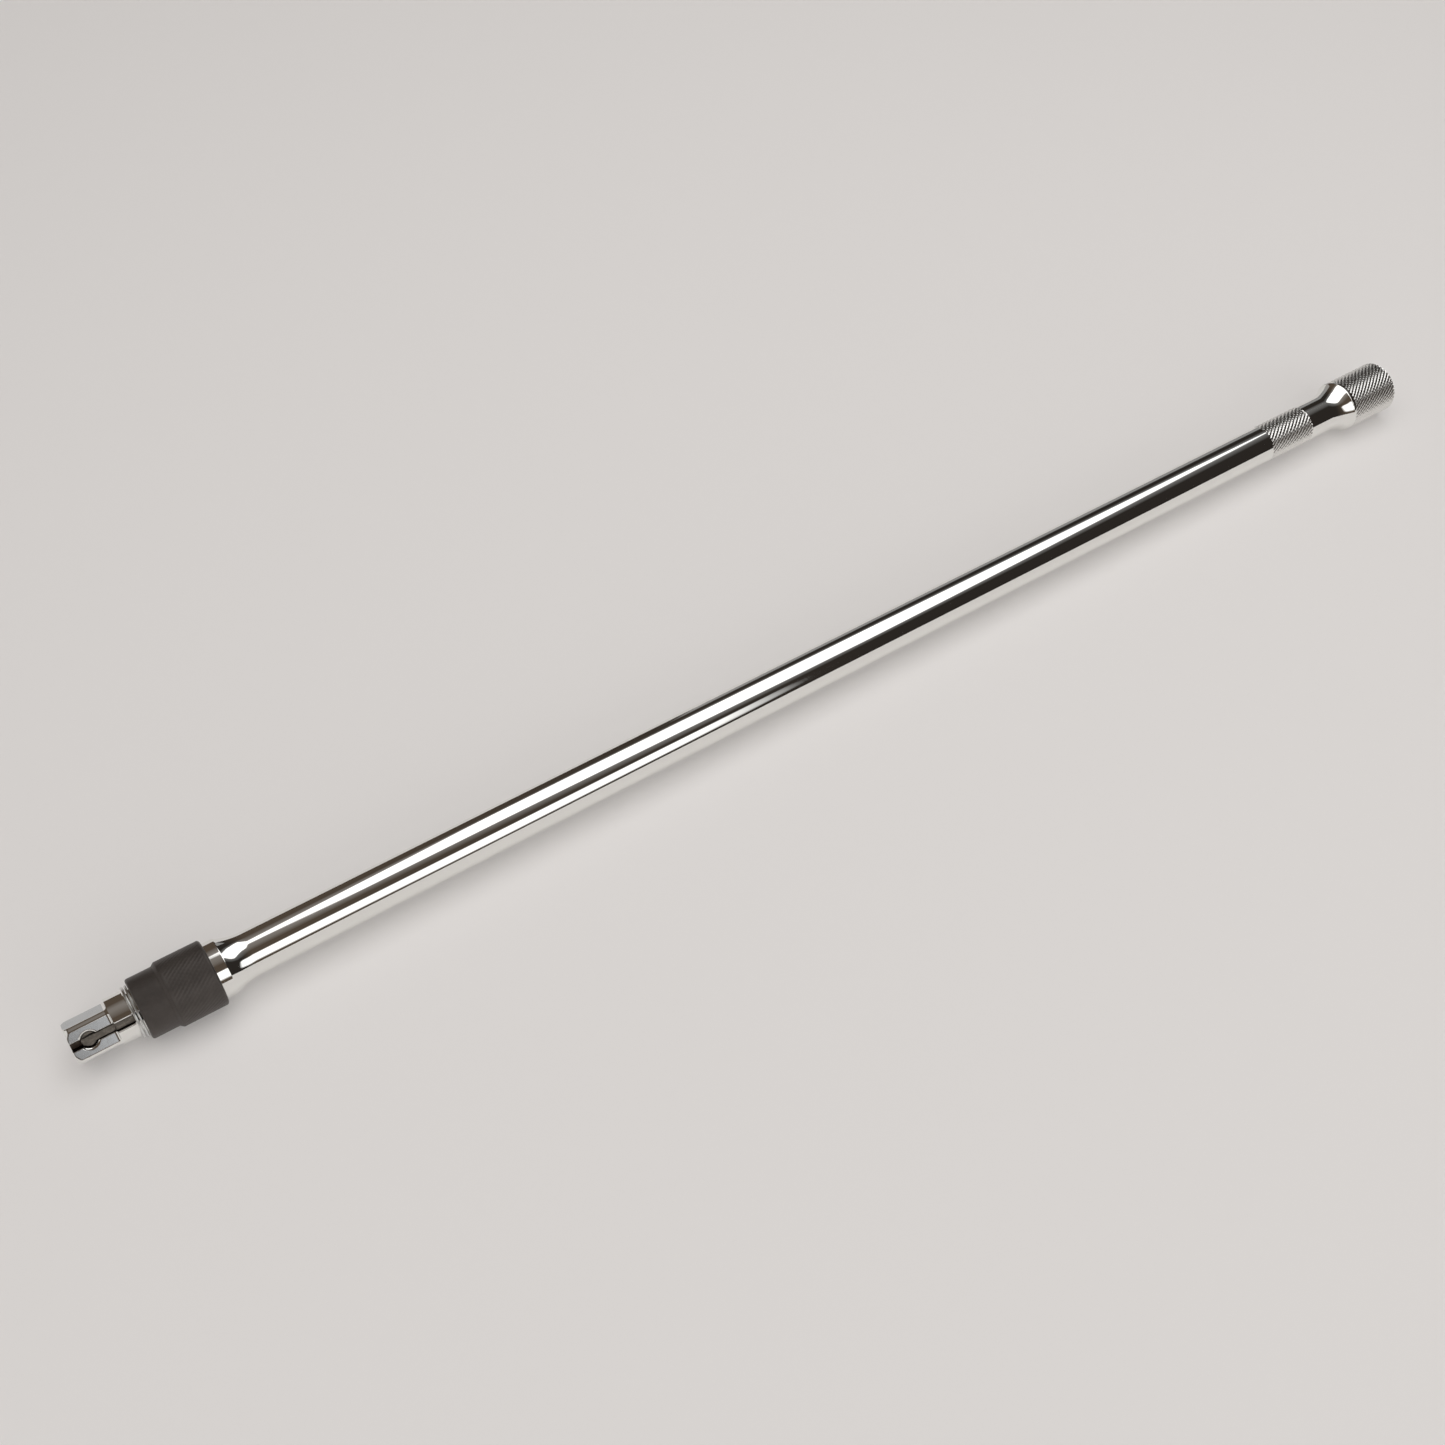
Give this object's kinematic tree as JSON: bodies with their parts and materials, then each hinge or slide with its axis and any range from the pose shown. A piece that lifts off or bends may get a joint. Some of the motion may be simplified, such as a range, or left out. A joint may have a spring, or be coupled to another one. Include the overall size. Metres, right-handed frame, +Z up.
{
  "type": "locking socket extension bar",
  "caption": "Long half-inch drive socket extension bar with a sliding collar that releases a lock pin in its male drive.",
  "frame": {"origin": "centre of the male drive's tip face, on the bar's axis", "axes": "+X along the bar from the male drive to the female end, +Z up with the bar lying flat, the drive's groove facing -Y and 39.5 degrees up"},
  "size_m": [0.6096, 0.0238, 0.0238],
  "materials": {
    "chrome_plating": "mirror-polished chrome plating",
    "bright_ring_steel": "bright plated steel",
    "dark_collar_finish": "matte dark phosphate over a finely knurled sleeve",
    "black_oxide_steel": "oiled black oxide",
    "spring_steel": "oiled spring wire"
  },
  "bodies": {
    "extension_bar": {"extension_bar": "chrome_plating", "retaining_ring": "bright_ring_steel", "thrust_washer": "bright_ring_steel", "collar_spring": "spring_steel"},
    "actuator": {"actuator_bar": "black_oxide_steel", "spring_washer": "spring_steel"},
    "collar": {"release_collar": "dark_collar_finish"},
    "lock_pin": {"lock_pin": "black_oxide_steel"}
  },
  "joints": [
    {"name": "collar_slide", "type": "slide", "parent": "extension_bar", "child": "actuator", "axis": [1, 0, 0], "range_m": [0, 0.0044], "stiffness_N_per_m": 1130, "springref_m": -0.0098, "deforming": ["collar_spring"]},
    {"name": "collar_spin", "type": "hinge", "parent": "actuator", "child": "collar", "pos_m": [0, 0, 0], "axis": [1, 0, 0], "continuous": true},
    {"name": "pin_travel", "type": "slide", "parent": "extension_bar", "child": "lock_pin", "axis": [0, -0.7716, 0.6361], "range_m": [0, 0.0016]}
  ],
  "couplings": [
    {"joint": "pin_travel", "follows": "collar_slide", "ratio": 0.36}
  ]
}
